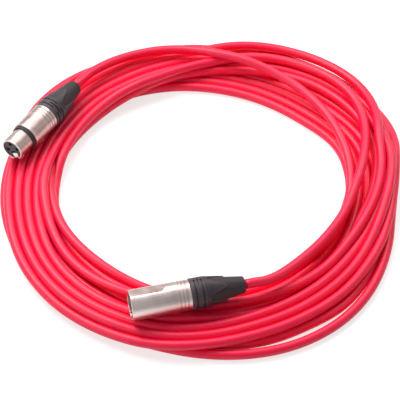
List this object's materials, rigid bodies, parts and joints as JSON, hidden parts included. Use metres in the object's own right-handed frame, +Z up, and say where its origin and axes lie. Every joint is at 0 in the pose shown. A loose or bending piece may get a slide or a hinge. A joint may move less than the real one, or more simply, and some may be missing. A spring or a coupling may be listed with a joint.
{
  "type": "microphone cable",
  "caption": "Balanced microphone cable wound in a loose flat coil, with a latching female connector and a male connector lying on top of it.",
  "frame": {"origin": "on the floor, under the middle of the coil's box", "axes": "+Z up, +X along the male connector from its mouth to its boot"},
  "size_m": [0.268, 0.268, 0.0322],
  "materials": {
    "cable_jacket": "satin soft PVC",
    "nickel_shell": "satin nickel plate on die-cast zinc",
    "latch_steel": "nickel plated spring steel",
    "black_rubber": "matte",
    "black_insert": "moulded glass-filled polyamide",
    "contact_metal": "plated brass",
    "chuck_plastic": "moulded",
    "boot_plastic": "finely textured moulding",
    "sleeve_rubber": "matte soft elastomer",
    "core_white": "extruded insulation",
    "core_blue": "extruded insulation",
    "drain_copper": "twisted tinned copper"
  },
  "bodies": {
    "cable": {"cable_coil": "cable_jacket", "cable_lead_female": "cable_jacket", "cable_lead_male": "cable_jacket", "female_shell": "nickel_shell", "female_ring": "black_rubber", "female_insert": "black_insert", "female_contact_1": "contact_metal", "female_contact_2": "contact_metal", "female_contact_3": "contact_metal", "female_latch_spring": "latch_steel", "female_chuck": "chuck_plastic", "female_boot": "boot_plastic", "female_sleeve": "sleeve_rubber", "female_jacket_end": "cable_jacket", "female_core_hot": "core_white", "female_core_cold": "core_blue", "female_drain": "drain_copper", "male_shell": "nickel_shell", "male_insert": "black_insert", "male_pin_1": "contact_metal", "male_pin_2": "contact_metal", "male_pin_3": "contact_metal", "male_chuck": "chuck_plastic", "male_boot": "boot_plastic", "male_sleeve": "sleeve_rubber", "male_jacket_end": "cable_jacket", "male_core_hot": "core_white", "male_core_cold": "core_blue", "male_drain": "drain_copper"},
    "latch": {"female_latch": "latch_steel"}
  },
  "joints": [
    {"name": "latch_press", "type": "slide", "parent": "cable", "child": "latch", "axis": [-0.2936, 0.304, 0.9063], "range_m": [0, 0.0011], "stiffness_N_per_m": 1000, "springref_m": -0.001, "deforming": ["female_latch_spring"]}
  ]
}
